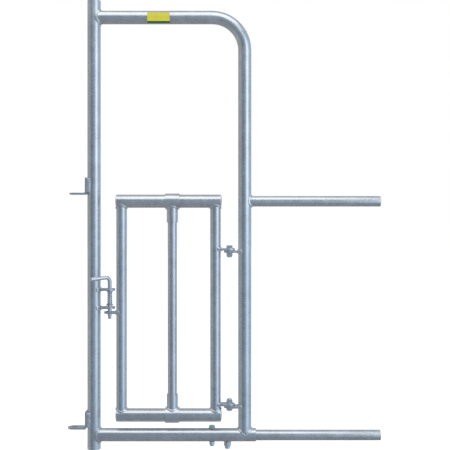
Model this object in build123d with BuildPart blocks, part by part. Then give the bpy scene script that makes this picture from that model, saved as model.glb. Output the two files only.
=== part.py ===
"""Galvanised walk-through frame with a hinged creep gate for calves and lambs.

Millimetres, +Z up. The origin is the foot of the latch post, on its axis. The frame stands in the
XZ plane, +X runs from the latch post to the side arms, and the latch handle side faces -Y.
"""

from build123d import *

from math import cos, radians, sin, sqrt
import os

os.makedirs("parts", exist_ok=True)

# Tube and flat-bar stock
FRAME_TUBE_D = 60.3
FRAME_WALL = 3.2
ARM_TUBE_D = 48.3
ARM_WALL = 2.9
BAR_TUBE_D = 42.4
BAR_WALL = 2.6
SOCKET_TUBE_D = 51.0
SOCKET_WALL = 3.6
SLEEVE_TUBE_D = 70.0
SLEEVE_WALL = 4.0
FLAT_WIDTH = 50.0
EAR_THICKNESS = 10.0
LUG_THICKNESS = 8.0
FIT_UP_GAP = 0.05  # clearance left where a saddle-cut end meets the tube it is welded to
SAW_CUT_RADIUS = 0.6  # zinc-rounded edge of a sawn tube end
PLATE_EDGE_RADIUS = 1.0  # zinc-rounded edge of a flat-bar piece

# Frame
FRAME_HEIGHT = 2050.0
POST_SPACING = 690.0
HEADER_Z = 1974.0
HEADER_BEND_R = 150.0
BOTTOM_RAIL_Z = 64.0
BOTTOM_RAIL_END_X = 741.0
UPPER_ARM_Z = 1132.5
LOWER_ARM_DROP = 1.5  # the clamp screw holds the lower arm this far below the rail axis
LOWER_ARM_START_X = 552.0
ARM_END_X = 1310.0
STOP_BOLT_X = 540.0
CLAMP_SCREW_X = 611.0

# Coupling lugs on the latch post: bar folded into an L, its leg pierced for a drop pin
UPPER_LUG_Z = 1163.0
UPPER_LUG_HEIGHT = 77.0
UPPER_LUG_REACH = 112.0
LOWER_LUG_Z = 93.0
LOWER_LUG_HEIGHT = 79.0
LOWER_LUG_REACH = 119.0
LUG_HOLE_D = 22.0
LUG_HOLE_FROM_END = 30.0
LUG_BEND_R = 6.0

# Gate leaf
GATE_START_X = 98.5
GATE_END_X = 585.0
GATE_TOP_Z = 1133.0
GATE_BOTTOM_Z = 154.0
LATCH_STILE_X = 126.0
HINGE_STILE_X = 556.0
HINGE_X = 620.0
UPPER_HINGE_Z = 907.0
LOWER_HINGE_Z = 198.0
EAR_GAP = 0.5
END_CAP_LENGTH = 7.0
END_CAP_RIM = 3.0
END_CAP_EDGE_RADIUS = 2.0
HINGE_HOLE_D = 17.0

# Creep bar and its sliding tees
CREEP_BAR_X = 358.5
SLEEVE_LENGTH = 65.0
SOCKET_LENGTH = 97.0  # from the gate rail axis to the open end of the socket
BAR_END_FROM_RAIL = 44.0

# Spring latch
ROD_X = 71.4
ROD_D = 18.0
ROD_LOW_Z = 594.0
ROD_BEND_R = 20.0
HANDLE_Z = 785.5
HANDLE_REACH = 94.0
HANDLE_DROP = 8.0  # the handle falls this much from its bend to its free end
HANDLE_ANGLE = 215.0  # from +X, anticlockwise seen from above: the handle passes in front of the post
ROD_TIP_LENGTH = 18.0  # tapered lead-in at the rod's foot
ROD_TIP_INSET = 2.2
ROD_TIP_RADIUS = 1.0
HANDLE_END_RADIUS = 2.0
UPPER_GUIDE_Z = 724.0
LOWER_GUIDE_Z = 641.0
KEEPER_Z = 618.5
GUIDE_HOLE_D = 19.0
KEEPER_HOLE_D = 22.0
CROSS_PIN_D = 5.0
CROSS_PIN_LENGTH = 30.0
CROSS_PIN_Z = 654.0
CROSS_PIN_CHAMFER = 0.5
SPRING_WASHER_D = 34.0
SPRING_WASHER_T = 3.0
SPRING_OUTER_D = 26.0
SPRING_WIRE_D = 3.0
SPRING_COILS = 6.0
SPRING_END_GAP = 0.1

# Fasteners: M16 on the frame and hinges, M12 on the sliding tees
M16_SHANK_D = 16.0
M16_ACROSS_FLATS = 24.0
M16_HEAD_H = 10.0
M16_NUT_H = 18.0
M16_NUT_HEX_H = 13.0
M16_COLLAR_D = 22.0
M16_WASHER_D = 30.0
M16_WASHER_T = 3.0
M12_SHANK_D = 12.0
M12_ACROSS_FLATS = 19.0
M12_HEAD_H = 7.5
M12_NUT_H = 10.0
M12_HOLE_D = 13.0
THREAD_CLEARANCE = 0.1
NUT_COLLAR_RADIUS = 2.0
WASHER_EDGE_RADIUS = 0.5
HINGE_BOLT_LENGTH = 45.0
STOP_BOLT_TIP_Z = 13.0
BOSS_ACROSS_FLATS = 32.0
BOSS_HEIGHT = 19.0
CLAMP_HEAD_H = 11.0
CLAMP_HEAD_GAP = 1.5
TEE_HEAD_GAP = 4.0
TEE_TIP_GAP = 0.2  # between a tee screw's tip and the rail it would bear on when tightened

# Label: a thin sticker wrapped round the front of the header
LABEL_START_X = 246.0
LABEL_LENGTH = 102.0
LABEL_THICKNESS = 0.35
LABEL_WRAP_ANGLE = 104.0
LABEL_TILT = 15.0  # its middle sits this many degrees below the front of the tube

FRAME_R = FRAME_TUBE_D / 2
LOWER_ARM_Z = BOTTOM_RAIL_Z - LOWER_ARM_DROP
LOWER_WASHER_Z = CROSS_PIN_Z + CROSS_PIN_D / 2 + FIT_UP_GAP
UPPER_WASHER_Z = UPPER_GUIDE_Z - FIT_UP_GAP - SPRING_WASHER_T


def ring(outer_d, wall):
    """Tube section in the current sketch."""
    Circle(outer_d / 2)
    Circle(outer_d / 2 - wall, mode=Mode.SUBTRACT)


def tube_x(x_start, x_end, z, outer_d, wall):
    """Straight tube along X in the current part."""
    with BuildSketch(Plane.YZ.offset(x_start)) as section:
        with Locations((0, z)):
            ring(outer_d, wall)
    extrude(section.sketch, amount=x_end - x_start)


def tube_z(x, z_start, z_end, outer_d, wall):
    """Straight upright tube in the current part."""
    low_z = min(z_start, z_end)
    with BuildSketch(Plane.XY.offset(low_z)) as section:
        with Locations((x, 0)):
            ring(outer_d, wall)
    extrude(section.sketch, amount=abs(z_end - z_start))


def saddle_z(x, z, tube_d, span):
    """Saddle cut that fits the current part against an upright tube at x."""
    with BuildSketch(Plane.XY.offset(z - span)) as cut:
        with Locations((x, 0)):
            Circle(tube_d / 2 + FIT_UP_GAP)
    extrude(cut.sketch, amount=2 * span, mode=Mode.SUBTRACT)


def saddle_x(x, z, tube_d, span):
    """Saddle cut that fits the current part against a tube along X at height z."""
    with BuildSketch(Plane.YZ.offset(x - span)) as cut:
        with Locations((0, z)):
            Circle(tube_d / 2 + FIT_UP_GAP)
    extrude(cut.sketch, amount=2 * span, mode=Mode.SUBTRACT)


def round_tube_end(part, axis, end):
    """Round the outer rim of one sawn tube end; end is -1 for the far end of the axis and 0 for the near."""
    rims = part.faces().sort_by(axis)[end].edges()
    fillet(rims.sort_by(SortBy.LENGTH)[-1], SAW_CUT_RADIUS)


def flat_ear(tube_x_axis, tube_d, pin_x, z_low, hole_d):
    """Flat-bar ear from an upright tube to a pierced round end on the pin axis."""
    side = 1 if pin_x > tube_x_axis else -1
    start_x = tube_x_axis + side * tube_d / 4
    with BuildPart() as ear:
        with BuildSketch(Plane.XY.offset(z_low)):
            with Locations(((start_x + pin_x) / 2, 0)):
                Rectangle(abs(pin_x - start_x), FLAT_WIDTH)
            with Locations((pin_x, 0)):
                Circle(FLAT_WIDTH / 2)
                Circle(hole_d / 2, mode=Mode.SUBTRACT)
            with Locations((tube_x_axis, 0)):
                Circle(tube_d / 2 + FIT_UP_GAP, mode=Mode.SUBTRACT)
        extrude(amount=EAR_THICKNESS)
        free_end = ear.faces().filter_by(GeomType.CYLINDER).sort_by(SortBy.AREA)[-1]
        flat_sides = ear.faces().filter_by(Axis.Y)
        rims = free_end.edges().filter_by(GeomType.CIRCLE) + flat_sides.edges().filter_by(Axis.X)
        fillet(rims, PLATE_EDGE_RADIUS)
    return ear.part


def coupling_lug(z_low, height, reach):
    """Flat bar folded into an L: an upright flange on the post and a pierced leg pointing away from it."""
    flange_x = -FRAME_R - FIT_UP_GAP
    end_r = FLAT_WIDTH / 2
    with BuildPart() as lug:
        outer_corner = (flange_x, z_low)
        inner_corner = (flange_x - LUG_THICKNESS, z_low + LUG_THICKNESS)
        with BuildSketch(Plane.XZ.offset(-FLAT_WIDTH / 2)) as profile:
            with BuildLine():
                Polyline(
                    outer_corner,
                    (-reach, z_low),
                    (-reach, z_low + LUG_THICKNESS),
                    inner_corner,
                    (flange_x - LUG_THICKNESS, z_low + height),
                    (flange_x, z_low + height),
                    close=True,
                )
            make_face()
            fillet(profile.vertices().sort_by_distance(outer_corner)[0], LUG_BEND_R + LUG_THICKNESS / 2)
            fillet(profile.vertices().sort_by_distance(inner_corner)[0], LUG_BEND_R)
        extrude(amount=FLAT_WIDTH)
        with BuildSketch(Plane.XY.offset(z_low)):
            with Locations((-reach + end_r / 2, 0)):
                Rectangle(end_r, FLAT_WIDTH)
            with Locations((-reach + end_r, 0)):
                Circle(end_r, mode=Mode.SUBTRACT)
        extrude(amount=LUG_THICKNESS, mode=Mode.SUBTRACT)
        with BuildSketch(Plane.XY.offset(z_low)):
            with Locations((-reach + LUG_HOLE_FROM_END, 0)):
                Circle(LUG_HOLE_D / 2)
        extrude(amount=LUG_THICKNESS, mode=Mode.SUBTRACT)
    return lug.part


def hex_block(across_flats, height, hole_d):
    """Hexagon with its top corners turned off, standing on XY with a corner towards +X."""
    corner_r = across_flats / 2 / cos(radians(30))
    face_r = 0.475 * across_flats
    corner_drop = (corner_r - face_r) * sin(radians(30)) / cos(radians(30))
    with BuildPart() as block:
        with BuildSketch(Plane.XY):
            RegularPolygon(radius=corner_r, side_count=6)
        extrude(amount=height)
        with BuildSketch(Plane.XZ):
            with BuildLine():
                Polyline(
                    (0, 0),
                    (corner_r, 0),
                    (corner_r, height - corner_drop),
                    (face_r, height),
                    (0, height),
                    close=True,
                )
            make_face()
        revolve(axis=Axis.Z, mode=Mode.INTERSECT)
        if hole_d:
            with BuildSketch(Plane.XY):
                Circle(hole_d / 2)
            extrude(amount=height, mode=Mode.SUBTRACT)
    return block.part


def hex_bolt(shank_d, across_flats, head_h, length):
    """Hexagon bolt: its head stands on XY pointing +Z and its shank hangs below."""
    with BuildPart() as bolt:
        add(hex_block(across_flats, head_h, 0))
        with BuildSketch(Plane.XY):
            Circle(shank_d / 2)
        extrude(amount=-length)
        chamfer(bolt.faces().sort_by(Axis.Z)[0].edges(), shank_d / 12)
    return bolt.part


def locking_nut():
    """M16 locking nut: a hexagon standing on XY with a round collar over the nylon ring."""
    with BuildPart() as nut:
        add(hex_block(M16_ACROSS_FLATS, M16_NUT_HEX_H, 0))
        with BuildSketch(Plane.XY):
            Circle(M16_COLLAR_D / 2)
        extrude(amount=M16_NUT_H)
        fillet(nut.faces().sort_by(Axis.Z)[-1].edges(), NUT_COLLAR_RADIUS)
        with BuildSketch(Plane.XY):
            Circle(M16_SHANK_D / 2 + THREAD_CLEARANCE)
        extrude(amount=M16_NUT_H, mode=Mode.SUBTRACT)
    return nut.part


def flat_washer():
    """M16 washer standing on XY."""
    with BuildPart() as washer:
        with BuildSketch(Plane.XY):
            Circle(M16_WASHER_D / 2)
            Circle(M16_SHANK_D / 2 + THREAD_CLEARANCE, mode=Mode.SUBTRACT)
        extrude(amount=M16_WASHER_T)
        rims = washer.faces().filter_by(Axis.Z).edges().group_by(SortBy.LENGTH)[-1]
        fillet(rims, WASHER_EDGE_RADIUS)
    return washer.part


def write(part, name):
    """Label one finished piece and write its STEP file."""
    part.label = name
    export_step(part, f"parts/{name}.step")


# ---------------------------------------------------------------- frame tubes

with BuildPart() as left_post:
    tube_z(0, 0, FRAME_HEIGHT, FRAME_TUBE_D, FRAME_WALL)
    round_tube_end(left_post, Axis.Z, 0)
    round_tube_end(left_post, Axis.Z, -1)
write(left_post.part, "left_post")

# One tube makes the header and, past the bend, the hinge post
with BuildPart() as header_hinge_post:
    with BuildLine(Plane.XZ):
        FilletPolyline(
            (0, HEADER_Z),
            (POST_SPACING, HEADER_Z),
            (POST_SPACING, BOTTOM_RAIL_Z),
            radius=HEADER_BEND_R,
        )
    with BuildSketch(Plane.YZ):
        with Locations((0, HEADER_Z)):
            ring(FRAME_TUBE_D, FRAME_WALL)
    sweep()
    saddle_z(0, HEADER_Z, FRAME_TUBE_D, FRAME_TUBE_D)
    saddle_x(POST_SPACING, BOTTOM_RAIL_Z, FRAME_TUBE_D, FRAME_TUBE_D)
write(header_hinge_post.part, "header_hinge_post")

with BuildPart() as bottom_rail:
    tube_x(0, BOTTOM_RAIL_END_X, BOTTOM_RAIL_Z, FRAME_TUBE_D, FRAME_WALL)
    round_tube_end(bottom_rail, Axis.X, -1)
    saddle_z(0, BOTTOM_RAIL_Z, FRAME_TUBE_D, FRAME_TUBE_D)
    with BuildSketch(Plane.XY):
        with Locations((STOP_BOLT_X, 0)):
            Circle(HINGE_HOLE_D / 2)
    extrude(amount=BOTTOM_RAIL_Z + FRAME_TUBE_D, mode=Mode.SUBTRACT)
    with BuildSketch(Plane.XY):
        with Locations((CLAMP_SCREW_X, 0)):
            Circle(HINGE_HOLE_D / 2)
    extrude(amount=BOTTOM_RAIL_Z, mode=Mode.SUBTRACT)
write(bottom_rail.part, "bottom_rail")

with BuildPart() as upper_side_arm:
    tube_x(POST_SPACING, ARM_END_X, UPPER_ARM_Z, ARM_TUBE_D, ARM_WALL)
    round_tube_end(upper_side_arm, Axis.X, -1)
    saddle_z(POST_SPACING, UPPER_ARM_Z, FRAME_TUBE_D, FRAME_TUBE_D)
write(upper_side_arm.part, "upper_side_arm")

with BuildPart() as lower_side_arm:
    tube_x(LOWER_ARM_START_X, ARM_END_X, LOWER_ARM_Z, ARM_TUBE_D, ARM_WALL)
    round_tube_end(lower_side_arm, Axis.X, 0)
    round_tube_end(lower_side_arm, Axis.X, -1)
write(lower_side_arm.part, "lower_side_arm")

# ---------------------------------------------------------------- plates welded to the frame

write(coupling_lug(UPPER_LUG_Z, UPPER_LUG_HEIGHT, UPPER_LUG_REACH), "upper_coupling_lug")
write(coupling_lug(LOWER_LUG_Z, LOWER_LUG_HEIGHT, LOWER_LUG_REACH), "lower_coupling_lug")

for level, hinge_z in (("upper", UPPER_HINGE_Z), ("lower", LOWER_HINGE_Z)):
    post_ear_z = hinge_z - EAR_THICKNESS
    post_ear = flat_ear(POST_SPACING, FRAME_TUBE_D, HINGE_X, post_ear_z, HINGE_HOLE_D)
    write(post_ear, f"{level}_post_hinge_ear")
    gate_ear_z = hinge_z + EAR_GAP
    gate_ear = flat_ear(HINGE_STILE_X, ARM_TUBE_D, HINGE_X, gate_ear_z, HINGE_HOLE_D)
    write(gate_ear, f"{level}_gate_hinge_ear")

write(flat_ear(0, FRAME_TUBE_D, ROD_X, UPPER_GUIDE_Z, GUIDE_HOLE_D), "upper_latch_guide")
write(flat_ear(0, FRAME_TUBE_D, ROD_X, LOWER_GUIDE_Z, GUIDE_HOLE_D), "lower_latch_guide")
write(flat_ear(LATCH_STILE_X, ARM_TUBE_D, ROD_X, KEEPER_Z, KEEPER_HOLE_D), "latch_keeper")

# ---------------------------------------------------------------- gate leaf

rail_start_x = GATE_START_X + END_CAP_LENGTH + FIT_UP_GAP
rail_end_x = GATE_END_X - END_CAP_LENGTH - FIT_UP_GAP
for name, rail_z in (("gate_top_rail", GATE_TOP_Z), ("gate_bottom_rail", GATE_BOTTOM_Z)):
    with BuildPart() as gate_rail:
        tube_x(rail_start_x, rail_end_x, rail_z, FRAME_TUBE_D, FRAME_WALL)
    write(gate_rail.part, name)

# Pressed caps close both ends of both gate rails: a short rim and a shallow dome
cap_dome_height = END_CAP_LENGTH - END_CAP_RIM
cap_dome_r = (FRAME_R**2 + cap_dome_height**2) / (2 * cap_dome_height)
cap_halfway = END_CAP_LENGTH - cap_dome_r + sqrt(cap_dome_r**2 - (FRAME_R / 2) ** 2)
with BuildPart() as end_cap:
    with BuildSketch(Plane.XZ):
        with BuildLine():
            Polyline((0, END_CAP_LENGTH), (0, 0), (FRAME_R, 0), (FRAME_R, END_CAP_RIM))
            ThreePointArc((FRAME_R, END_CAP_RIM), (FRAME_R / 2, cap_halfway), (0, END_CAP_LENGTH))
        make_face()
    revolve(axis=Axis.Z)
    rim_edge = end_cap.edges().filter_by_position(Axis.Z, END_CAP_RIM - 0.1, END_CAP_RIM + 0.1)
    fillet(rim_edge, END_CAP_EDGE_RADIUS)

with BuildPart() as gate_rail_end_caps:
    with Locations(
        *[
            Plane(origin=(x, 0, z), x_dir=(0, 1, 0), z_dir=(outward, 0, 0))
            for z in (GATE_TOP_Z, GATE_BOTTOM_Z)
            for x, outward in (
                (GATE_START_X + END_CAP_LENGTH, -1),
                (GATE_END_X - END_CAP_LENGTH, 1),
            )
        ]
    ):
        add(end_cap.part)
write(gate_rail_end_caps.part, "gate_rail_end_caps")

for name, stile_x in (("latch_stile", LATCH_STILE_X), ("hinge_stile", HINGE_STILE_X)):
    with BuildPart() as stile:
        tube_z(stile_x, GATE_BOTTOM_Z, GATE_TOP_Z, ARM_TUBE_D, ARM_WALL)
        saddle_x(stile_x, GATE_BOTTOM_Z, FRAME_TUBE_D, FRAME_TUBE_D)
        saddle_x(stile_x, GATE_TOP_Z, FRAME_TUBE_D, FRAME_TUBE_D)
    write(stile.part, name)

# ---------------------------------------------------------------- creep bar on its sliding tees

for level, rail_z in (("upper", GATE_TOP_Z), ("lower", GATE_BOTTOM_Z)):
    with BuildPart() as sleeve:
        sleeve_start_x = CREEP_BAR_X - SLEEVE_LENGTH / 2
        tube_x(sleeve_start_x, sleeve_start_x + SLEEVE_LENGTH, rail_z, SLEEVE_TUBE_D, SLEEVE_WALL)
        round_tube_end(sleeve, Axis.X, 0)
        round_tube_end(sleeve, Axis.X, -1)
        with BuildSketch(Plane.XZ):
            with Locations((CREEP_BAR_X, rail_z)):
                Circle(M12_HOLE_D / 2)
        extrude(amount=-SLEEVE_TUBE_D, mode=Mode.SUBTRACT)
    write(sleeve.part, f"{level}_slide_sleeve")

    towards_middle = 1 if level == "lower" else -1
    socket_end_z = rail_z + towards_middle * SOCKET_LENGTH
    with BuildPart() as socket:
        tube_z(CREEP_BAR_X, rail_z, socket_end_z, SOCKET_TUBE_D, SOCKET_WALL)
        round_tube_end(socket, Axis.Z, -1 if level == "lower" else 0)
        saddle_x(CREEP_BAR_X, rail_z, SLEEVE_TUBE_D, SLEEVE_TUBE_D)
    write(socket.part, f"{level}_bar_socket")

with BuildPart() as creep_bar:
    bar_low_z = GATE_BOTTOM_Z + BAR_END_FROM_RAIL
    bar_high_z = GATE_TOP_Z - BAR_END_FROM_RAIL
    tube_z(CREEP_BAR_X, bar_low_z, bar_high_z, BAR_TUBE_D, BAR_WALL)
    round_tube_end(creep_bar, Axis.Z, 0)
    round_tube_end(creep_bar, Axis.Z, -1)
write(creep_bar.part, "creep_bar")

# The clamp screws sit behind the sleeves and bear on the back of the gate rails
tee_back_y = SLEEVE_TUBE_D / 2 + FIT_UP_GAP
tee_nut_places = [
    Plane(origin=(CREEP_BAR_X, tee_back_y, z), x_dir=(1, 0, 0), z_dir=(0, 1, 0))
    for z in (GATE_TOP_Z, GATE_BOTTOM_Z)
]
tee_head_offset = M12_NUT_H + TEE_HEAD_GAP
tee_shank_length = tee_back_y + tee_head_offset - FRAME_R - TEE_TIP_GAP

with BuildPart() as creep_clamp_nuts:
    with Locations(*tee_nut_places):
        add(hex_block(M12_ACROSS_FLATS, M12_NUT_H, M12_SHANK_D + 2 * THREAD_CLEARANCE))
write(creep_clamp_nuts.part, "creep_clamp_nuts")

with BuildPart() as creep_clamp_screws:
    with Locations(*[place.offset(tee_head_offset) for place in tee_nut_places]):
        add(hex_bolt(M12_SHANK_D, M12_ACROSS_FLATS, M12_HEAD_H, tee_shank_length))
write(creep_clamp_screws.part, "creep_clamp_screws")

# ---------------------------------------------------------------- hinge fasteners

# The upper hinge bolt hangs head up and the lower one stands head down
UP = (0, 0, 1)
DOWN = (0, 0, -1)
ears_top = EAR_GAP + EAR_THICKNESS + FIT_UP_GAP
ears_bottom = EAR_THICKNESS + FIT_UP_GAP
upper_head_z = UPPER_HINGE_Z + ears_top + M16_WASHER_T + FIT_UP_GAP
upper_nut_z = UPPER_HINGE_Z - ears_bottom - M16_WASHER_T - FIT_UP_GAP
lower_head_z = LOWER_HINGE_Z - ears_bottom - M16_WASHER_T - FIT_UP_GAP
lower_nut_z = LOWER_HINGE_Z + ears_top + M16_WASHER_T + FIT_UP_GAP

with BuildPart() as hinge_bolts:
    with Locations(
        Plane(origin=(HINGE_X, 0, upper_head_z), x_dir=(1, 0, 0), z_dir=UP),
        Plane(origin=(HINGE_X, 0, lower_head_z), x_dir=(1, 0, 0), z_dir=DOWN),
    ):
        add(hex_bolt(M16_SHANK_D, M16_ACROSS_FLATS, M16_HEAD_H, HINGE_BOLT_LENGTH))
write(hinge_bolts.part, "hinge_bolts")

with BuildPart() as hinge_nuts:
    with Locations(
        Plane(origin=(HINGE_X, 0, upper_nut_z), x_dir=(1, 0, 0), z_dir=DOWN),
        Plane(origin=(HINGE_X, 0, lower_nut_z), x_dir=(1, 0, 0), z_dir=UP),
    ):
        add(locking_nut())
write(hinge_nuts.part, "hinge_nuts")

with BuildPart() as hinge_washers:
    with Locations(
        *[
            Plane(origin=(HINGE_X, 0, z), x_dir=(1, 0, 0), z_dir=UP)
            for z in (
                UPPER_HINGE_Z + ears_top,
                UPPER_HINGE_Z - ears_bottom - M16_WASHER_T,
                LOWER_HINGE_Z + ears_top,
                LOWER_HINGE_Z - ears_bottom - M16_WASHER_T,
            )
        ]
    ):
        add(flat_washer())
write(hinge_washers.part, "hinge_washers")

# ---------------------------------------------------------------- lower arm fasteners

rail_top_z = BOTTOM_RAIL_Z + FRAME_R + FIT_UP_GAP
rail_underside_z = BOTTOM_RAIL_Z - FRAME_R - FIT_UP_GAP

with BuildPart() as arm_stop_washer:
    with Locations((STOP_BOLT_X, 0, rail_top_z)):
        add(flat_washer())
write(arm_stop_washer.part, "arm_stop_washer")

# Hexagon bolt standing across the rail just behind the inner end of the arm
stop_head_z = rail_top_z + M16_WASHER_T + FIT_UP_GAP
with BuildPart() as arm_stop_bolt:
    with Locations((STOP_BOLT_X, 0, stop_head_z)):
        add(hex_bolt(M16_SHANK_D, M16_ACROSS_FLATS, M16_HEAD_H, stop_head_z - STOP_BOLT_TIP_Z))
write(arm_stop_bolt.part, "arm_stop_bolt")

with BuildPart() as arm_stop_nut:
    with Locations(Plane(origin=(STOP_BOLT_X, 0, rail_underside_z), x_dir=(0, 1, 0), z_dir=DOWN)):
        add(locking_nut())
write(arm_stop_nut.part, "arm_stop_nut")

clamp_place = Plane(origin=(CLAMP_SCREW_X, 0, rail_underside_z), x_dir=(0, 1, 0), z_dir=DOWN)
with BuildPart() as arm_clamp_boss:
    with Locations(clamp_place):
        add(hex_block(BOSS_ACROSS_FLATS, BOSS_HEIGHT, M16_SHANK_D + 2 * THREAD_CLEARANCE))
write(arm_clamp_boss.part, "arm_clamp_boss")

with BuildPart() as arm_clamp_screw:
    clamp_head_offset = BOSS_HEIGHT + CLAMP_HEAD_GAP
    clamp_head_z = rail_underside_z - clamp_head_offset
    arm_underside_z = LOWER_ARM_Z - ARM_TUBE_D / 2
    clamp_shank_length = arm_underside_z - FIT_UP_GAP - clamp_head_z
    with Locations(clamp_place.offset(clamp_head_offset)):
        add(hex_bolt(M16_SHANK_D, M16_ACROSS_FLATS, CLAMP_HEAD_H, clamp_shank_length))
write(arm_clamp_screw.part, "arm_clamp_screw")

# ---------------------------------------------------------------- spring latch

# Round rod through both guides into the keeper, its top bent over into the handle
with BuildPart() as latch_rod:
    along_x = cos(radians(HANDLE_ANGLE))
    along_y = sin(radians(HANDLE_ANGLE))
    handle_plane = Plane(origin=(ROD_X, 0, 0), x_dir=(along_x, along_y, 0), z_dir=(along_y, -along_x, 0))
    with BuildLine(handle_plane):
        FilletPolyline(
            (0, ROD_LOW_Z),
            (0, HANDLE_Z),
            (HANDLE_REACH, HANDLE_Z - HANDLE_DROP),
            radius=ROD_BEND_R,
        )
    with BuildSketch(Plane.XY.offset(ROD_LOW_Z)):
        with Locations((ROD_X, 0)):
            Circle(ROD_D / 2)
    sweep()
    rod_tip = latch_rod.faces().sort_by(Axis.Z)[0]
    chamfer(rod_tip.edges(), ROD_TIP_INSET, ROD_TIP_LENGTH, reference=rod_tip)
    fillet(latch_rod.faces().sort_by(Axis.Z)[0].edges(), ROD_TIP_RADIUS)
    handle_end = latch_rod.faces().filter_by(GeomType.PLANE).sort_by(Axis.X)[0]
    fillet(handle_end.edges(), HANDLE_END_RADIUS)
    with BuildSketch(Plane.XZ.offset(-ROD_D)):
        with Locations((ROD_X, CROSS_PIN_Z)):
            Circle(CROSS_PIN_D / 2 + FIT_UP_GAP)
    extrude(amount=2 * ROD_D, mode=Mode.SUBTRACT)
write(latch_rod.part, "latch_rod")

with BuildPart() as latch_cross_pin:
    with BuildSketch(Plane.XZ.offset(-CROSS_PIN_LENGTH / 2)):
        with Locations((ROD_X, CROSS_PIN_Z)):
            Circle(CROSS_PIN_D / 2)
    extrude(amount=CROSS_PIN_LENGTH)
    chamfer(latch_cross_pin.edges().filter_by(GeomType.CIRCLE), CROSS_PIN_CHAMFER)
write(latch_cross_pin.part, "latch_cross_pin")

# The lower washer rides on the cross pin and the upper one stays under the upper guide
for name, washer_z in (("lower_spring_washer", LOWER_WASHER_Z), ("upper_spring_washer", UPPER_WASHER_Z)):
    with BuildPart() as spring_washer:
        with BuildSketch(Plane.XY.offset(washer_z)):
            with Locations((ROD_X, 0)):
                Circle(SPRING_WASHER_D / 2)
                Circle(GUIDE_HOLE_D / 2, mode=Mode.SUBTRACT)
        extrude(amount=SPRING_WASHER_T)
    write(spring_washer.part, name)

# Compression spring between the two washers
with BuildPart() as latch_spring:
    spring_low_z = LOWER_WASHER_Z + SPRING_WASHER_T + SPRING_WIRE_D / 2 + SPRING_END_GAP
    spring_high_z = UPPER_WASHER_Z - SPRING_WIRE_D / 2 - SPRING_END_GAP
    spring_height = spring_high_z - spring_low_z
    with BuildLine():
        coil = Helix(
            pitch=spring_height / SPRING_COILS,
            height=spring_height,
            radius=(SPRING_OUTER_D - SPRING_WIRE_D) / 2,
            center=(ROD_X, 0, spring_low_z),
        )
    with BuildSketch(Plane(origin=coil @ 0, z_dir=coil % 0)):
        Circle(SPRING_WIRE_D / 2)
    sweep(path=coil, is_frenet=True)
write(latch_spring.part, "latch_spring")

# ---------------------------------------------------------------- label

with BuildPart() as header_label:
    inner_r = FRAME_R + FIT_UP_GAP / 2
    outer_r = inner_r + LABEL_THICKNESS
    start_angle = 180 + LABEL_TILT - LABEL_WRAP_ANGLE / 2
    with BuildSketch(Plane.YZ.offset(LABEL_START_X)):
        with BuildLine():
            CenterArc((0, HEADER_Z), inner_r, start_angle, LABEL_WRAP_ANGLE)
            CenterArc((0, HEADER_Z), outer_r, start_angle, LABEL_WRAP_ANGLE)
            for edge_angle in (start_angle, start_angle + LABEL_WRAP_ANGLE):
                across = (cos(radians(edge_angle)), sin(radians(edge_angle)))
                Line(
                    (inner_r * across[0], HEADER_Z + inner_r * across[1]),
                    (outer_r * across[0], HEADER_Z + outer_r * across[1]),
                )
        make_face()
    extrude(amount=LABEL_LENGTH)
write(header_label.part, "header_label")
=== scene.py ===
"""Looks of the galvanised walk-through frame with its creep gate.

The CAD tubes and plates keep their shapes and get procedural zinc finishes. This script adds what CAD left
out: the weld beads, the closed-end latch spring and the bolt threads. Metres, +Z up, in the CAD frame.
"""

from math import ceil, cos, pi, radians, sin, sqrt, tau

import bpy
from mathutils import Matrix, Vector, noise


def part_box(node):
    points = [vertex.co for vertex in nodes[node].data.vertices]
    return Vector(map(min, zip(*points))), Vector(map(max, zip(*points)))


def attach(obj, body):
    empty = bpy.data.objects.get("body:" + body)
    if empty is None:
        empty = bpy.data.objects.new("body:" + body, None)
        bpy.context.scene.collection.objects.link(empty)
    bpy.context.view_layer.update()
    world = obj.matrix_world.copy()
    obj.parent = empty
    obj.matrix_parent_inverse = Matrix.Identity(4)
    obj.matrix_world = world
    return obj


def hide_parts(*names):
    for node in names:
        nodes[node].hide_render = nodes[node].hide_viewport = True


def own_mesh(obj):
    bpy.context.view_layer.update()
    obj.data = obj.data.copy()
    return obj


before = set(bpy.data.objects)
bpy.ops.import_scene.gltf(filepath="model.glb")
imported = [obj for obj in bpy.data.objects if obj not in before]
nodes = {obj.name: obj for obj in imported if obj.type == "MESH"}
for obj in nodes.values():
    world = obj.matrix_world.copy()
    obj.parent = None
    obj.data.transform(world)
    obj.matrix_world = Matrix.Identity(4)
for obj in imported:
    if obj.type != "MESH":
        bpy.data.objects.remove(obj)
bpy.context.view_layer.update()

X = Vector((1, 0, 0))
Y = Vector((0, 1, 0))
Z = Vector((0, 0, 1))
MM = 0.001


# ---------------------------------------------------------------- places read from the frame

def middle(node):
    """Centre of a CAD node's box."""
    low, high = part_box(node)
    return (low + high) / 2


def radius(node):
    """Radius of a tube that lies across Y, from how deep its box is."""
    low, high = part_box(node)
    return (high.y - low.y) / 2


FRAME_R = radius("left_post")
ARM_R = radius("upper_side_arm")
STILE_R = radius("latch_stile")
SLEEVE_R = radius("upper_slide_sleeve")
SOCKET_R = radius("upper_bar_socket")

HEADER_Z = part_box("header_hinge_post")[1].z - FRAME_R
HINGE_POST_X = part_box("header_hinge_post")[1].x - FRAME_R
BOTTOM_RAIL_Z = middle("bottom_rail").z
UPPER_ARM_Z = middle("upper_side_arm").z
GATE_TOP_Z = middle("gate_top_rail").z
GATE_BOTTOM_Z = middle("gate_bottom_rail").z
LATCH_STILE_X = middle("latch_stile").x
HINGE_STILE_X = middle("hinge_stile").x
CREEP_BAR_X = middle("creep_bar").x


# ---------------------------------------------------------------- node-tree helpers

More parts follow.
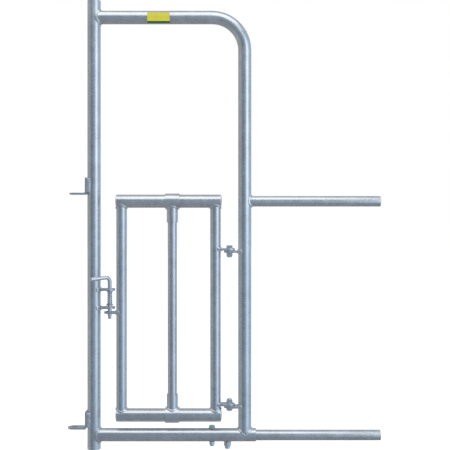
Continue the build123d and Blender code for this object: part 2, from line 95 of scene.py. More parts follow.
def add(tree, kind, inputs=None, **settings):
    """New shader node: settings are its properties, inputs are constants or sockets to link."""
    made = tree.nodes.new(kind)
    for key, value in settings.items():
        setattr(made, key, value)
    for key, value in (inputs or {}).items():
        socket = made.inputs[key]
        if isinstance(value, bpy.types.NodeSocket):
            tree.links.new(value, socket)
        else:
            socket.default_value = value
    return made


def maths(tree, operation, a, b=0.0, clamp=False):
    """Output of a math node."""
    return add(tree, "ShaderNodeMath", {0: a, 1: b}, operation=operation, use_clamp=clamp).outputs[0]


def remap(tree, value, low, high, to_low=0.0, to_high=1.0, smooth=False):
    """Value carried from low..high to to_low..to_high, held at the ends."""
    inputs = {"Value": value, "From Min": low, "From Max": high, "To Min": to_low, "To Max": to_high}
    kind = "SMOOTHSTEP" if smooth else "LINEAR"
    return add(tree, "ShaderNodeMapRange", inputs, interpolation_type=kind).outputs["Result"]


def mix_colour(tree, share, a, b, blend="MIX"):
    """Two colours mixed by share."""
    made = add(tree, "ShaderNodeMix", data_type="RGBA", blend_type=blend)
    for key, value in ((0, share), (6, a), (7, b)):
        if isinstance(value, bpy.types.NodeSocket):
            tree.links.new(value, made.inputs[key])
        else:
            made.inputs[key].default_value = value
    return made.outputs[2]


def stretched(tree, vector, scale):
    """Coordinates scaled per axis."""
    return add(tree, "ShaderNodeVectorMath", {0: vector, 1: scale}, operation="MULTIPLY").outputs[0]


def noise_value(tree, vector, scale, detail=3.0, rough=0.55):
    """Fractal noise, about 0..1."""
    inputs = {"Vector": vector, "Scale": scale, "Detail": detail, "Roughness": rough}
    return add(tree, "ShaderNodeTexNoise", inputs).outputs["Fac"]


def new_material(name):
    """Empty node material, its tree and its output node."""
    material = bpy.data.materials.new(name)
    material.use_nodes = True
    tree = material.node_tree
    tree.nodes.clear()
    return material, tree, add(tree, "ShaderNodeOutputMaterial")


# ---------------------------------------------------------------- materials

WAVE_HEIGHT = 0.0014
FINE_RIPPLE_HEIGHT = 0.00010
SPECK_HEIGHT = 0.00015
SMUDGE_HEIGHT = 0.0001
FILM_SMUDGE_HEIGHT = 0.0002
FILM_FIBRE_HEIGHT = 0.00003
BAND_TOP_ANGLE = radians(-44.0)


def spangle(tree, vector, cells_per_metre, warp):
    """Zinc crystals: a random value for each cell, their edges wandering."""
    push = add(tree, "ShaderNodeTexNoise", {"Vector": vector, "Scale": cells_per_metre * 1.4, "Detail": 2.0})
    push_by = add(
        tree,
        "ShaderNodeVectorMath",
        {0: push.outputs["Color"], 1: (warp, warp, warp)},
        operation="MULTIPLY",
    ).outputs[0]
    moved = add(tree, "ShaderNodeVectorMath", {0: vector, 1: push_by}, operation="ADD").outputs[0]
    cells = add(tree, "ShaderNodeTexVoronoi", {"Vector": moved, "Scale": cells_per_metre})
    return add(tree, "ShaderNodeSeparateColor", {"Color": cells.outputs["Color"]}).outputs["Red"]


def spots(tree, vector, per_metre, size, share):
    """Round specks: 1 inside a speck. Only the given share of cells holds one."""
    cells = add(tree, "ShaderNodeTexVoronoi", {"Vector": vector, "Scale": per_metre, "Randomness": 1.0})
    inside = remap(tree, cells.outputs["Distance"], size, size * 0.5, smooth=True)
    chosen = add(tree, "ShaderNodeSeparateColor", {"Color": cells.outputs["Color"]}).outputs["Green"]
    return maths(tree, "MULTIPLY", inside, maths(tree, "LESS_THAN", chosen, share))


def zinc(name, along=None, tone=0.70, tint=(0.97, 1.0, 1.035), rough=0.28, lump=1.0, contrast=1.0):
    """Hot-dip zinc. along is the direction of the faint drawn lines in a tube."""
    material, tree, output = new_material(name)
    place = add(tree, "ShaderNodeTexCoord").outputs["Object"]

    crystals = spangle(tree, place, 85.0, 0.010)
    clouds = noise_value(tree, place, 9.0, 2.0)
    patches = noise_value(tree, place, 30.0, 2.0, 0.5)

    bright = remap(tree, crystals, 0.0, 1.0, 1 - 0.022 * contrast, 1 + 0.022 * contrast)
    cloud = remap(tree, clouds, 0.3, 0.7, 1 - 0.07 * contrast, 1 + 0.06 * contrast)
    patch = remap(tree, patches, 0.3, 0.7, 1 - 0.05 * contrast, 1 + 0.05 * contrast)
    value = maths(tree, "MULTIPLY", bright, maths(tree, "MULTIPLY", cloud, patch))

    if along is not None:
        scale = tuple(2.5 if axis == along else 100.0 for axis in "XYZ")
        lines = noise_value(tree, stretched(tree, place, scale), 1.0, 2.0, 0.6)
        value = maths(tree, "MULTIPLY", value, remap(tree, lines, 0.3, 0.7, 0.975, 1.025))

    dark_specks = spots(tree, place, 45.0, 0.10, 0.035)
    pale_specks = spots(tree, stretched(tree, place, (1.0, 1.0, 0.9)), 60.0, 0.10, 0.03)
    value = maths(tree, "MULTIPLY", value, remap(tree, dark_specks, 0, 1, 1.0, 0.78))
    value = maths(tree, "MULTIPLY", value, remap(tree, pale_specks, 0, 1, 1.0, 1.12))
    value = maths(tree, "MULTIPLY", value, tone)
    grey = add(tree, "ShaderNodeCombineColor", {"Red": value, "Green": value, "Blue": value}).outputs[0]
    colour = mix_colour(tree, 1.0, grey, (*tint, 1.0), "MULTIPLY")

    roughness = remap(tree, crystals, 0.0, 1.0, rough - 0.015, rough + 0.02)
    roughness = maths(tree, "ADD", roughness, remap(tree, patches, 0.3, 0.7, -0.02, 0.03))
    roughness = maths(tree, "ADD", roughness, remap(tree, dark_specks, 0, 1, 0.0, 0.15))

    waves = noise_value(tree, place, 14.0, 1.0, 0.5)
    ripples = noise_value(tree, place, 60.0, 1.0, 0.5)
    height = maths(tree, "MULTIPLY", waves, WAVE_HEIGHT)
    height = maths(tree, "ADD", height, maths(tree, "MULTIPLY", ripples, FINE_RIPPLE_HEIGHT))
    height = maths(tree, "ADD", height, maths(tree, "MULTIPLY", pale_specks, SPECK_HEIGHT))
    bump = add(tree, "ShaderNodeBump", {"Strength": 0.5 * lump, "Distance": 1.0, "Height": height})

    surface = add(
        tree,
        "ShaderNodeBsdfPrincipled",
        {"Base Color": colour, "Metallic": 0.9, "Roughness": roughness, "Normal": bump.outputs[0]},
    )
    tree.links.new(surface.outputs[0], output.inputs["Surface"])
    return material


def plated_steel(name, colour, rough):
    """Zinc-plated bolts and nuts: smooth, faintly green, with dull handling marks."""
    material, tree, output = new_material(name)
    place = add(tree, "ShaderNodeTexCoord").outputs["Object"]
    smudges = noise_value(tree, place, 90.0, 2.0, 0.5)
    iridescence = noise_value(tree, place, 40.0, 1.0)
    greener = (colour[0] * 0.94, colour[1] * 1.0, colour[2] * 0.93, 1.0)
    plated = mix_colour(tree, remap(tree, iridescence, 0.35, 0.65), (*colour, 1.0), greener)
    shade = remap(tree, smudges, 0.3, 0.7, 0.92, 1.04)
    grey = add(tree, "ShaderNodeCombineColor", {"Red": shade, "Green": shade, "Blue": shade}).outputs[0]
    tinted = mix_colour(tree, 1.0, plated, grey, "MULTIPLY")
    roughness = remap(tree, smudges, 0.3, 0.7, rough - 0.04, rough + 0.08)
    height = maths(tree, "MULTIPLY", smudges, SMUDGE_HEIGHT)
    bump = add(tree, "ShaderNodeBump", {"Strength": 0.5, "Distance": 1.0, "Height": height})
    surface = add(
        tree,
        "ShaderNodeBsdfPrincipled",
        {"Base Color": tinted, "Metallic": 0.95, "Roughness": roughness, "Normal": bump.outputs[0]},
    )
    tree.links.new(surface.outputs[0], output.inputs["Surface"])
    return material


def label_film(name):
    """Printed film: yellow with a dark green band along its lower edge, and no lettering."""
    material, tree, output = new_material(name)
    place = add(tree, "ShaderNodeTexCoord").outputs["Object"]
    split = add(tree, "ShaderNodeSeparateXYZ", {"Vector": place})
    low = maths(tree, "SUBTRACT", split.outputs["Z"], HEADER_Z)
    round_tube = maths(tree, "ARCTAN2", low, maths(tree, "MULTIPLY", split.outputs["Y"], -1.0))
    smudge = noise_value(tree, place, 60.0, 4.0)
    fibre = noise_value(tree, place, 700.0, 2.0)
    smudged = remap(tree, smudge, 0.3, 0.7)
    yellow = mix_colour(tree, smudged, (0.66, 0.585, 0.040, 1), (0.60, 0.53, 0.032, 1))
    green = mix_colour(tree, smudged, (0.004, 0.085, 0.012, 1), (0.010, 0.11, 0.02, 1))
    is_band = maths(tree, "LESS_THAN", round_tube, BAND_TOP_ANGLE)
    colour = mix_colour(tree, is_band, yellow, green)
    roughness = remap(tree, smudge, 0.3, 0.7, 0.30, 0.48)
    height = maths(tree, "MULTIPLY", smudge, FILM_SMUDGE_HEIGHT)
    height = maths(tree, "ADD", height, maths(tree, "MULTIPLY", fibre, FILM_FIBRE_HEIGHT))
    bump = add(tree, "ShaderNodeBump", {"Strength": 0.5, "Distance": 1.0, "Height": height})
    surface = add(
        tree,
        "ShaderNodeBsdfPrincipled",
        {"Base Color": colour, "Roughness": roughness, "Normal": bump.outputs[0], "Coat Weight": 0.2},
    )
    tree.links.new(surface.outputs[0], output.inputs["Surface"])
    return material


UPRIGHT_ZINC = zinc("zinc_upright_tube", along="Z")
LEVEL_ZINC = zinc("zinc_level_tube", along="X")
BENT_ZINC = zinc("zinc_bent_tube")
PLATE_ZINC = zinc("zinc_plate", tone=0.66, rough=0.38, lump=0.8)
WELD_ZINC = zinc("zinc_weld", tone=0.82, rough=0.25, lump=0.8)
DULL_WELD_ZINC = zinc("zinc_dull_weld", tone=0.66, rough=0.42, lump=0.8, contrast=1.6)
ROD_ZINC = zinc("zinc_rod", tone=0.76, rough=0.26, lump=0.6)
FASTENER = plated_steel("plated_fastener", (0.74, 0.78, 0.79), 0.28)
SPRING_WIRE = plated_steel("spring_wire", (0.58, 0.62, 0.65), 0.30)
LABEL = label_film("label_film")

FINISHES = {
    UPRIGHT_ZINC: (
        "left_post",
        "latch_stile",
        "hinge_stile",
        "creep_bar",
        "upper_bar_socket",
        "lower_bar_socket",
    ),
    LEVEL_ZINC: (
        "bottom_rail",
        "upper_side_arm",
        "lower_side_arm",
        "gate_top_rail",
        "gate_bottom_rail",
        "upper_slide_sleeve",
        "lower_slide_sleeve",
    ),
    BENT_ZINC: ("header_hinge_post",),
    PLATE_ZINC: (
        "gate_rail_end_caps",
        "upper_coupling_lug",
        "lower_coupling_lug",
        "upper_post_hinge_ear",
        "lower_post_hinge_ear",
        "upper_gate_hinge_ear",
        "lower_gate_hinge_ear",
        "upper_latch_guide",
        "lower_latch_guide",
        "latch_keeper",
        "arm_clamp_boss",
    ),
    ROD_ZINC: ("latch_rod",),
    FASTENER: (
        "latch_cross_pin",
        "lower_spring_washer",
        "upper_spring_washer",
        "hinge_bolts",
        "hinge_nuts",
        "hinge_washers",
        "arm_stop_bolt",
        "arm_stop_nut",
        "arm_stop_washer",
        "arm_clamp_screw",
        "creep_clamp_nuts",
        "creep_clamp_screws",
    ),
    SPRING_WIRE: ("latch_spring",),
    LABEL: ("header_label",),
}
for material, members in FINISHES.items():
    for name in members:
        nodes[name].data.materials.clear()
        nodes[name].data.materials.append(material)


# ---------------------------------------------------------------- mesh helpers

def make_piece(name, body, vertices, faces, material):
    """Smooth-shaded mesh piece that rides on a body."""
    mesh = bpy.data.meshes.new(name)
    mesh.from_pydata(vertices, [], faces)
    mesh.validate()
    mesh.shade_smooth()
    mesh.materials.append(material)
    piece = bpy.data.objects.new(name, mesh)
    bpy.context.scene.collection.objects.link(piece)
    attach(piece, body)
    return piece


def loft(sections, closed):
    """Vertices and faces through equal sections; an open run is capped at both ends."""
    around = len(sections[0])
    vertices = [point for section in sections for point in section]
    faces = []
    runs = len(sections) if closed else len(sections) - 1
    for row in range(runs):
        here = row * around
        there = (row + 1) % len(sections) * around
        for step in range(around):
            ahead = (step + 1) % around
            faces.append((here + step, here + ahead, there + ahead, there + step))
    if not closed:
        faces.append(tuple(reversed(range(around))))
        faces.append(tuple(range(runs * around, (runs + 1) * around)))
    return vertices, faces


# ---------------------------------------------------------------- weld beads

SECTION_STEPS = 8
BEAD_STEP = 1.1 * MM
RIPPLE_PITCH = 3.6 * MM
RIPPLE_HEIGHT = 0.12 * MM
BURIED = 1.6 * MM
END_TAPER = 4.0 * MM
SADDLE_ROOT_RISE = 8.0 * MM
SADDLE_ROOT_DEPTH = 2.5 * MM
LUG_FLANGE_INSET = 1.5 * MM
LUG_SIDE_REACH = 4.0 * MM
LUG_POST_ANGLE = radians(24.0)
LUG_BEND_CLEARANCE = 8.0 * MM
LUG_ROOT_OFFSET = 12.0 * MM


def weld(name, body, rows, closed=True, crown=1.0 * MM, finish=WELD_ZINC):
    """Bead through rows of (root, toe, toe, outward). Its crown carries the ripples of the weld pool."""
    lengths = [0.0]
    for before, after in zip(rows, rows[1:]):
        lengths.append(lengths[-1] + (after[0] - before[0]).length)
    whole = lengths[-1] + ((rows[0][0] - rows[-1][0]).length if closed else 0.0)
    ripples = max(1, round(whole / RIPPLE_PITCH))
    sections = []
    for (root, toe_a, toe_b, outward), run in zip(rows, lengths):
        swell = 1.0 + 0.25 * noise.noise(root * 50.0)
        size = 1.0
        if not closed:
            to_end = min(run, whole - run) / END_TAPER
            size = sqrt(max(0.02, 1 - (1 - min(1.0, to_end)) ** 2))
        section = [root]
        for step in range(SECTION_STEPS + 1):
            share = step / SECTION_STEPS
            arch = 4 * share * (1 - share)
            ripple = cos(tau * ripples * run / whole - 1.4 * arch)
            height = crown * arch * swell + RIPPLE_HEIGHT * sqrt(arch) * ripple
            point = toe_a.lerp(toe_b, share) + outward * height
            section.append(root.lerp(point, size))
        sections.append(section)
    vertices, faces = loft(sections, closed)
    return make_piece(name, body, vertices, faces, finish)


def wander(point, leg):
    """Leg length that varies a little along the run."""
    return leg * (1.0 + 0.18 * noise.noise(point * 40.0) + 0.05 * noise.noise(point * 120.0))


def onto_tube(point, centre, axis, tube_r):
    """Nearest point on a tube's surface."""
    offset = point - centre
    along = axis * offset.dot(axis)
    return centre + along + (offset - along).normalized() * tube_r


def tee_rows(centre, run, branch, run_r, branch_r, run_leg, branch_leg):
    """Rows where a branch tube, leaving centre along branch, is welded to a run tube."""
    side = run.cross(branch)
    count = ceil(tau * branch_r * 1.15 / BEAD_STEP)
    angles = [tau * step / count for step in range(count)]
    points = []
    for angle in angles:
        across = branch_r * cos(angle)
        out = sqrt(max(run_r**2 - across**2, 0.0) + (2 * MM * cos(angle)) ** 2)
        points.append(centre + side * across + run * (branch_r * sin(angle)) + branch * out)
    rows = []
    for index, (angle, point) in enumerate(zip(angles, points)):
        tangent = (points[(index + 1) % count] - points[index - 1]).normalized()
        offset = point - centre
        run_normal = (offset - run * offset.dot(run)).normalized()
        branch_normal = side * cos(angle) + run * sin(angle)
        along_run = tangent.cross(run_normal).normalized()
        if along_run.dot(branch_normal - branch) < 0:
            along_run.negate()
        along_branch = tangent.cross(branch_normal).normalized()
        if along_branch.dot(branch) < 0:
            along_branch.negate()
        toe_run = onto_tube(point + along_run * wander(point, run_leg), centre, run, run_r)
        toe_branch = onto_tube(point + along_branch * wander(point, branch_leg), centre, branch, branch_r)
        outward = (run_normal + branch_normal).normalized()
        rows.append((point - outward * BURIED, toe_run, toe_branch, outward))
    return rows


def saddle_rows(centre, run, branch, tube_r, nose):
    """Rows of the wide, dished bead where a branch as big as the post is saddled round it.

    nose is how far in front of the post's axis the bead starts on the face of the post.
    """
    side = run.cross(branch)
    count = ceil(tau * tube_r * 1.3 / BEAD_STEP)
    rows = []
    for step in range(count):
        angle = tau * step / count
        front, flank = cos(angle), sin(angle)
        lip = 1.0 + 0.05 * noise.noise(Vector((front, flank, centre.z)) * 2.5)
        run_out = nose + (tube_r - nose) * flank**2
        run_across = sqrt(max(tube_r**2 - run_out**2, 0.0)) * (1 if front > 0 else -1)
        toe_run = centre + branch * run_out + side * run_across + run * (1.3 * tube_r * flank * lip)
        branch_out = nose + (16.0 + 18.0 * flank**2) * MM * lip
        toe_branch = centre + branch * branch_out + (run * flank + side * front) * tube_r
        run_normal = (branch * run_out + side * run_across) / tube_r
        outward = (run_normal + run * flank + side * front).normalized()
        root_out = sqrt((tube_r * flank) ** 2 + SADDLE_ROOT_RISE**2) - 2.0 * MM
        root = centre + branch * root_out + (run * flank + side * front) * (tube_r - SADDLE_ROOT_DEPTH)
        rows.append((root, toe_run, toe_branch, outward * (1.8 * front**2 - 1.7 * flank**4)))
    return rows


def outline(half_width, half_height, corner):
    """Points and outward directions round a rectangle with round corners, evenly spaced."""
    trace = []
    for turn, (sign_w, sign_h) in enumerate(((1, 1), (-1, 1), (-1, -1), (1, -1))):
        corner_w = sign_w * (half_width - corner)
        corner_h = sign_h * (half_height - corner)
        bends = max(3, ceil(corner * pi / 2 / BEAD_STEP))
        for bend in range(bends + 1):
            angle = (turn + bend / bends) * pi / 2
            normal_w, normal_h = cos(angle), sin(angle)
            trace.append((corner_w + corner * normal_w, corner_h + corner * normal_h, normal_w, normal_h))
        straight = 2 * ((half_width if turn % 2 == 0 else half_height) - corner)
        steps = int(straight / BEAD_STEP)
        last = trace[-1]
        for step in range(1, steps):
            gone = straight * step / steps
            trace.append((last[0] - last[3] * gone, last[1] + last[2] * gone, last[2], last[3]))
    return trace


def patch_rows(centre, run, out, tube_r, half_angle, half_height, leg, corner):
    """Rows round a plate or boss that stands on a tube, leaving it along out."""
    side = run.cross(out)
    rows = []
    for wide, high, normal_w, normal_h in outline(tube_r * half_angle, half_height, corner):
        def on_tube(w, h):
            return centre + run * h + (out * cos(w / tube_r) + side * sin(w / tube_r)) * tube_r

        point = on_tube(wide, high)
        radial = out * cos(wide / tube_r) + side * sin(wide / tube_r)
        round_tube = side * cos(wide / tube_r) - out * sin(wide / tube_r)
        reach = wander(point, leg)
        toe_tube = on_tube(wide + normal_w * reach, high + normal_h * reach)
        toe_plate = point + out * wander(point + Y, leg)
        outward = (radial + round_tube * normal_w + run * normal_h).normalized()
        rows.append((point - outward * BURIED, toe_tube, toe_plate, outward))
    return rows


def ring_rows(centre, axis, tube_r, half_width):
    """Rows of a flat seam round a tube."""
    side = axis.orthogonal().normalized()
    other = axis.cross(side)
    count = ceil(tau * tube_r / BEAD_STEP)
    rows = []
    for step in range(count):
        angle = tau * step / count
        normal = side * cos(angle) + other * sin(angle)
        point = centre + normal * tube_r
        reach = wander(point, half_width)
        rows.append((point - normal * BURIED, point - axis * reach, point + axis * reach, normal))
    return rows


def lug_rows(node, front):
    """Rows of the upright bead that fills the gap between a lug's flange and the post, on one side."""
    low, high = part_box(node)
    flange_edge = high.x - LUG_FLANGE_INSET
    half_width = (high.y - low.y) / 2 + LUG_SIDE_REACH
    start = low.z + LUG_BEND_CLEARANCE
    run = high.z - 1.5 * MM - start
    steps = ceil(run / BEAD_STEP)
    rows = []
    for step in range(steps + 1):
        z = start + run * step / steps
        shift = radians(3.0) * noise.noise(Vector((0.0, front, z * 60.0)))
        angle = LUG_POST_ANGLE + shift
        toe_post = Vector((-FRAME_R * sin(angle), front * FRAME_R * cos(angle), z))
        toe_plate = Vector((flange_edge, front * half_width, z))
        root = Vector((high.x + 2.0 * MM, front * LUG_ROOT_OFFSET, z))
        outward = Vector((0.2, front, 0.0)).normalized()
        rows.append((root, toe_post, toe_plate, outward))
    return rows


post_low = Vector((0, 0, BOTTOM_RAIL_Z))
post_high = Vector((0, 0, HEADER_Z))
hinge_foot = Vector((HINGE_POST_X, 0, BOTTOM_RAIL_Z))
arm_root = Vector((HINGE_POST_X, 0, UPPER_ARM_Z))
for saddle, centre, nose in (("header", post_high, 4.5 * MM), ("bottom_rail", post_low, 2.5 * MM)):
    rows = saddle_rows(centre, Z, X, FRAME_R, nose)
    weld(f"weld_{saddle}", "frame", rows, finish=DULL_WELD_ZINC)
foot_rows = tee_rows(hinge_foot, X, Z, FRAME_R, FRAME_R, 5 * MM, 5 * MM)
weld("weld_hinge_post_foot", "frame", foot_rows, crown=1.6 * MM)
weld("weld_upper_side_arm", "frame", tee_rows(arm_root, Z, X, FRAME_R, ARM_R, 5.5 * MM, 6 * MM))

for stile_name, stile_x in (("latch", LATCH_STILE_X), ("hinge", HINGE_STILE_X)):
    for level, rail_z, inward in (("top", GATE_TOP_Z, -Z), ("bottom", GATE_BOTTOM_Z, Z)):
        rows = tee_rows(Vector((stile_x, 0, rail_z)), X, inward, FRAME_R, STILE_R, 5 * MM, 5.5 * MM)
        weld(f"weld_{stile_name}_stile_{level}", "gate", rows)

for level, rail_z, inward in (("upper", GATE_TOP_Z, -Z), ("lower", GATE_BOTTOM_Z, Z)):
    rows = tee_rows(Vector((CREEP_BAR_X, 0, rail_z)), X, inward, SLEEVE_R, SOCKET_R, 4.5 * MM, 5 * MM)
    weld(f"weld_{level}_bar_socket", "creep_slider", rows)

EARS = (
    ("upper_post_hinge_ear", "frame", HINGE_POST_X, FRAME_R, -X),
    ("lower_post_hinge_ear", "frame", HINGE_POST_X, FRAME_R, -X),
    ("upper_gate_hinge_ear", "gate", HINGE_STILE_X, STILE_R, X),
    ("lower_gate_hinge_ear", "gate", HINGE_STILE_X, STILE_R, X),
    ("upper_latch_guide", "frame", 0.0, FRAME_R, X),
    ("lower_latch_guide", "frame", 0.0, FRAME_R, X),
    ("latch_keeper", "gate", LATCH_STILE_X, STILE_R, -X),
)
for ear, body, tube_x, tube_r, out in EARS:
    half_height = (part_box(ear)[1].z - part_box(ear)[0].z) / 2
    half_angle = radians(56.0 if tube_r == FRAME_R else 60.0)
    centre = Vector((tube_x, 0, middle(ear).z))
    rows = patch_rows(centre, Z, out, tube_r, half_angle, half_height, 5.5 * MM, 3 * MM)
    weld(f"weld_{ear}", body, rows, crown=1.7 * MM)

for lug in ("upper_coupling_lug", "lower_coupling_lug"):
    weld(f"weld_{lug}_front", "frame", lug_rows(lug, -1), closed=False, crown=1.2 * MM)
    weld(f"weld_{lug}_back", "frame", lug_rows(lug, 1), closed=False, crown=1.2 * MM)

boss_low, boss_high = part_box("arm_clamp_boss")
boss_centre = Vector((middle("arm_clamp_boss").x, 0, BOTTOM_RAIL_Z))
boss_r = (boss_high.x - boss_low.x) / 2 - 1 * MM
boss_rows = patch_rows(boss_centre, X, -Z, FRAME_R, boss_r / FRAME_R, boss_r, 2.5 * MM, boss_r)
weld("weld_arm_clamp_boss", "frame", boss_rows)

nut_r = 10.2 * MM
for level, rail_z in (("upper", GATE_TOP_Z), ("lower", GATE_BOTTOM_Z)):
    nut_centre = Vector((CREEP_BAR_X, 0, rail_z))
    rows = patch_rows(nut_centre, X, Y, SLEEVE_R, nut_r / SLEEVE_R, nut_r, 3 * MM, nut_r)
    weld(f"weld_{level}_clamp_nut", "creep_slider", rows, crown=0.6 * MM)

rail_low, rail_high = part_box("gate_top_rail")
for level, rail_z in (("top", GATE_TOP_Z), ("bottom", GATE_BOTTOM_Z)):
    for end, seam_x in (("latch", rail_low.x), ("hinge", rail_high.x)):
        rows = ring_rows(Vector((seam_x, 0, rail_z)), X, FRAME_R, 2.0 * MM)
        weld(f"weld_cap_{level}_{end}", "gate", rows, crown=0.25 * MM)


# ---------------------------------------------------------------- latch spring and threads

SPRING_FIRST_TURN = 0.43
THREAD_CREST = 0.34 * MM


def coil_sections(centre, heights, turns, first_turn, coil_r, wire_r, per_turn, sides):
    """Wire sections along a helix about a vertical axis; heights(share) gives the wire's height."""
    count = ceil(turns * per_turn)
    sections = []
    for row in range(count + 1):
        share = row / count
        angle = tau * (first_turn + turns * share)
        outward = Vector((cos(angle), sin(angle), 0))
        place = Vector((centre.x, centre.y, heights(share))) + outward * coil_r
        sections.append(
            [
                place + outward * (wire_r * cos(tau * side / sides)) + Z * (wire_r * sin(tau * side / sides))
                for side in range(sides)
            ]
        )
    return sections


def latch_spring():
    """Compression spring with closed, ground ends between its two washers."""
    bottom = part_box("lower_spring_washer")[1].z + 0.1 * MM
    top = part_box("upper_spring_washer")[0].z - 0.1 * MM
    wire_r = 1.5 * MM
    coil_r = radius("latch_spring") - wire_r
    centre = middle("latch_spring")
    active_turns = 6.0
    turns = active_turns + 2
    low = bottom + wire_r * 0.7
    high = top - wire_r * 0.7
    closed_rise = 2 * wire_r * 1.02

    def wire_height(share):
        turn = share * turns
        if turn < 1:
            return low + closed_rise * turn
        if turn > turns - 1:
            return high - closed_rise * (turns - turn)
        return low + closed_rise + (high - low - 2 * closed_rise) * (turn - 1) / active_turns

    sections = coil_sections(centre, wire_height, turns, SPRING_FIRST_TURN, coil_r, wire_r, 40, 14)
    vertices, faces = loft(sections, closed=False)
    for point in vertices:
        point.z = min(max(point.z, bottom), top)
    spring = make_piece("latch_spring_coil", "frame", vertices, faces, SPRING_WIRE)
    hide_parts("latch_spring")
    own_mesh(spring)


def thread(name, body, centre, axis, shank_r, pitch, length):
    """Raised helical thread on the exposed part of a shank, running from centre along axis."""
    turns = length / pitch
    side = axis.orthogonal().normalized()
    other = axis.cross(side)
    per_turn = 36
    count = ceil(turns * per_turn)
    sections = []
    for row in range(count + 1):
        gone = turns * row / count
        angle = tau * gone
        outward = side * cos(angle) + other * sin(angle)
        place = centre + axis * (pitch * gone) + outward * (shank_r - 0.1 * MM)
        fade = min(1.0, 4 * gone / turns, 4 * (turns - gone) / turns)
        crest = 0.1 * MM + THREAD_CREST * fade
        half = pitch * 0.42
        tip = place + outward * crest
        flat = axis * half * 0.2
        sections.append([place - axis * half, tip - flat, tip + flat, place + axis * half])
    vertices, faces = loft(sections, closed=False)
    make_piece(name, body, vertices, faces, FASTENER)


latch_spring()

tip_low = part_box("arm_stop_bolt")[0].z
nut_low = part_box("arm_stop_nut")[0].z
stop_thread_start = Vector((middle("arm_stop_bolt").x, 0, tip_low + 2 * MM))
thread("thread_arm_stop_bolt", "frame", stop_thread_start, Z, 8 * MM, 2 * MM, nut_low - tip_low)
nut_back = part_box("creep_clamp_nuts")[1].y
for level, rail_z in (("upper", GATE_TOP_Z), ("lower", GATE_BOTTOM_Z)):
    start = Vector((CREEP_BAR_X, nut_back - 1 * MM, rail_z))
    thread(f"thread_{level}_clamp_screw", "creep_slider", start, Y, 6 * MM, 1.75 * MM, 4.6 * MM)


# ---------------------------------------------------------------- floor, light and camera

def window(tree, value, low, high, soft):
    """1 between low and high, falling off over soft on each side."""
    rise = remap(tree, value, low - soft, low + soft, smooth=True)
    fall = remap(tree, value, high - soft, high + soft, 1.0, 0.0, smooth=True)
    return maths(tree, "MULTIPLY", rise, fall)


def studio_world():
    """White to the camera; to the metal, a dim room, cool in front and right and neutral at the left."""
    world = bpy.data.worlds.new("studio")
    bpy.context.scene.world = world
    world.use_nodes = True
    tree = world.node_tree
    tree.nodes.clear()
    direction = add(tree, "ShaderNodeTexCoord").outputs["Generated"]
    split = add(tree, "ShaderNodeSeparateXYZ", {"Vector": direction})
    forward = maths(tree, "MULTIPLY", split.outputs["Y"], -1.0)
    azimuth = maths(tree, "ARCTAN2", split.outputs["X"], forward)
    height = split.outputs["Z"]

    front = (0.24, 0.33, 0.44, 1.0)
    dark_left = (0.125, 0.155, 0.195, 1.0)
    far_left = (0.38, 0.39, 0.365, 1.0)
    right = (0.44, 0.54, 0.74, 1.0)
    below = (0.19, 0.21, 0.23, 1.0)
    above = (0.46, 0.48, 0.49, 1.0)
    room = mix_colour(tree, window(tree, azimuth, -0.90, -0.12, 0.25), front, dark_left)
    room = mix_colour(tree, remap(tree, azimuth, -0.80, -1.45, smooth=True), room, far_left)
    room = mix_colour(tree, remap(tree, azimuth, 0.90, 1.60, smooth=True), room, right)
    room = mix_colour(tree, remap(tree, height, -0.25, -0.75, smooth=True), room, below)
    room = mix_colour(tree, remap(tree, height, 0.45, 0.85, smooth=True), room, above)
    seen = add(tree, "ShaderNodeBackground", {"Color": (1.0, 1.0, 1.0, 1.0), "Strength": 1.0})
    lit = add(tree, "ShaderNodeBackground", {"Color": room, "Strength": 1.0})
    camera_ray = add(tree, "ShaderNodeLightPath").outputs["Is Camera Ray"]
    both = add(tree, "ShaderNodeMixShader", {0: camera_ray, 1: lit.outputs[0], 2: seen.outputs[0]})
    out = add(tree, "ShaderNodeOutputWorld")
    tree.links.new(both.outputs[0], out.inputs["Surface"])


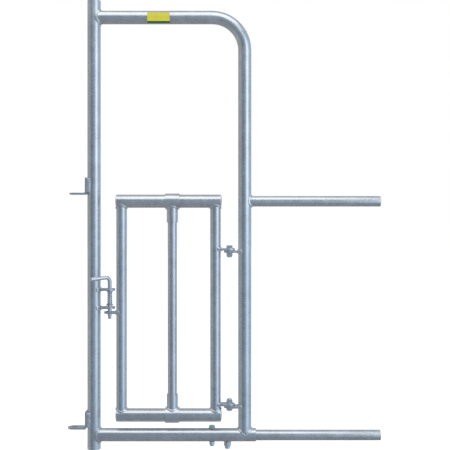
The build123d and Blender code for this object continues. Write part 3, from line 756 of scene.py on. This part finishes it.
def soft_light(name, place, target, width, height, power, colour):
    """Rectangular studio light aimed at a point."""
    data = bpy.data.lights.new(name, "AREA")
    data.shape = "RECTANGLE"
    data.size = width
    data.size_y = height
    data.energy = power
    data.color = colour
    light = bpy.data.objects.new(name, data)
    light.location = place
    light.rotation_euler = (Vector(target) - Vector(place)).to_track_quat("-Z", "Y").to_euler()
    light.visible_camera = False
    bpy.context.scene.collection.objects.link(light)
    return light


def pale_floor():
    """White floor that keeps only a faint soft shadow. It stays out of the metal's reflections."""
    mesh = bpy.data.meshes.new("floor")
    reach = 30.0
    corners = [(-reach, -reach, 0), (reach, -reach, 0), (reach, reach, 0), (-reach, reach, 0)]
    mesh.from_pydata(corners, [], [(0, 1, 2, 3)])
    floor = bpy.data.objects.new("floor", mesh)
    bpy.context.scene.collection.objects.link(floor)
    floor.visible_glossy = False
    material, tree, output = new_material("floor")
    glow = add(tree, "ShaderNodeEmission", {"Color": (1, 1, 1, 1), "Strength": 0.74})
    matte = add(tree, "ShaderNodeBsdfDiffuse", {"Color": (0.85, 0.85, 0.86, 1)})
    both = add(tree, "ShaderNodeAddShader", {0: glow.outputs[0], 1: matte.outputs[0]})
    tree.links.new(both.outputs[0], output.inputs["Surface"])
    mesh.materials.append(material)


CAMERA_DISTANCE = 3.6
VIEW_WIDTH = 2.061
SENSOR_WIDTH = 36.0


def photo_camera():
    """Level camera in front of the gate, at half its height."""
    data = bpy.data.cameras.new("camera")
    data.sensor_width = SENSOR_WIDTH
    data.lens = SENSOR_WIDTH * CAMERA_DISTANCE / VIEW_WIDTH
    camera = bpy.data.objects.new("camera", data)
    camera.location = (0.5995, -CAMERA_DISTANCE, 1.024)
    camera.rotation_euler = (radians(90.0), 0.0, 0.0)
    bpy.context.scene.collection.objects.link(camera)
    bpy.context.scene.camera = camera


studio_world()
soft_light("overhead_light", (0.25, -1.65, 3.43), (0.25, -1.60, 0.0), 3.1, 2.9, 29.5, (0.98, 1.0, 1.0))
soft_light("key_light", (2.80, -2.20, 2.25), (0.6, 0.0, 2.25), 2.5, 2.3, 19.4, (0.90, 0.97, 1.0))
soft_light("low_key_light", (2.80, -2.20, 0.10), (0.6, 0.0, 0.10), 2.5, 2.0, 11.3, (0.74, 0.89, 1.0))
pale_floor()
photo_camera()
bpy.context.scene.view_settings.view_transform = "Standard"
